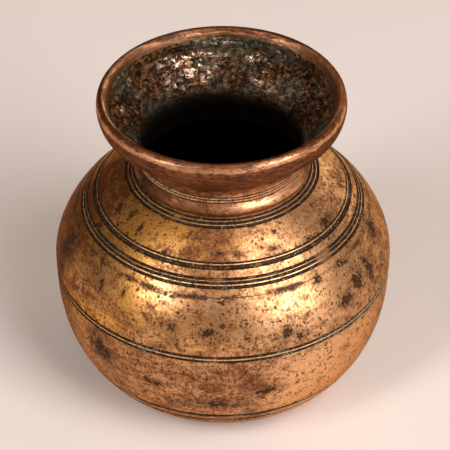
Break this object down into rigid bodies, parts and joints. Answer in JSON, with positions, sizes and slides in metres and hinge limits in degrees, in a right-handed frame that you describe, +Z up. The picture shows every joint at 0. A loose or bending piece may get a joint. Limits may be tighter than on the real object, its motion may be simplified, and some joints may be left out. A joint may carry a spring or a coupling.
{
  "type": "kalash water pot",
  "caption": "Round-bodied turned metal water pot with a flared neck, a heavy rounded lip and fine turned bands.",
  "frame": {"origin": "centre of the base, on the plane that the pot rests on", "axes": "+Z up along the pot's axis, through the middle of the mouth; -Y is the front"},
  "size_m": [0.13, 0.13, 0.1257],
  "materials": {
    "aged_body_brass": "satin turned metal with brown stains, fine pits and dark turned grooves",
    "neck_brass": "browner satin metal outside, dark rough patina inside",
    "worn_lip_brass": "hand-worn bright top edge with dark brown sides",
    "braze_metal": "dull dark braze metal"
  },
  "bodies": {
    "root": {"belly_bowl": "aged_body_brass", "shoulder_shell": "aged_body_brass", "neck_collar": "neck_brass", "mouth_rim": "worn_lip_brass", "belly_braze_seam": "braze_metal", "neck_braze_seam": "braze_metal", "rim_braze_seam": "braze_metal"}
  },
  "joints": []
}
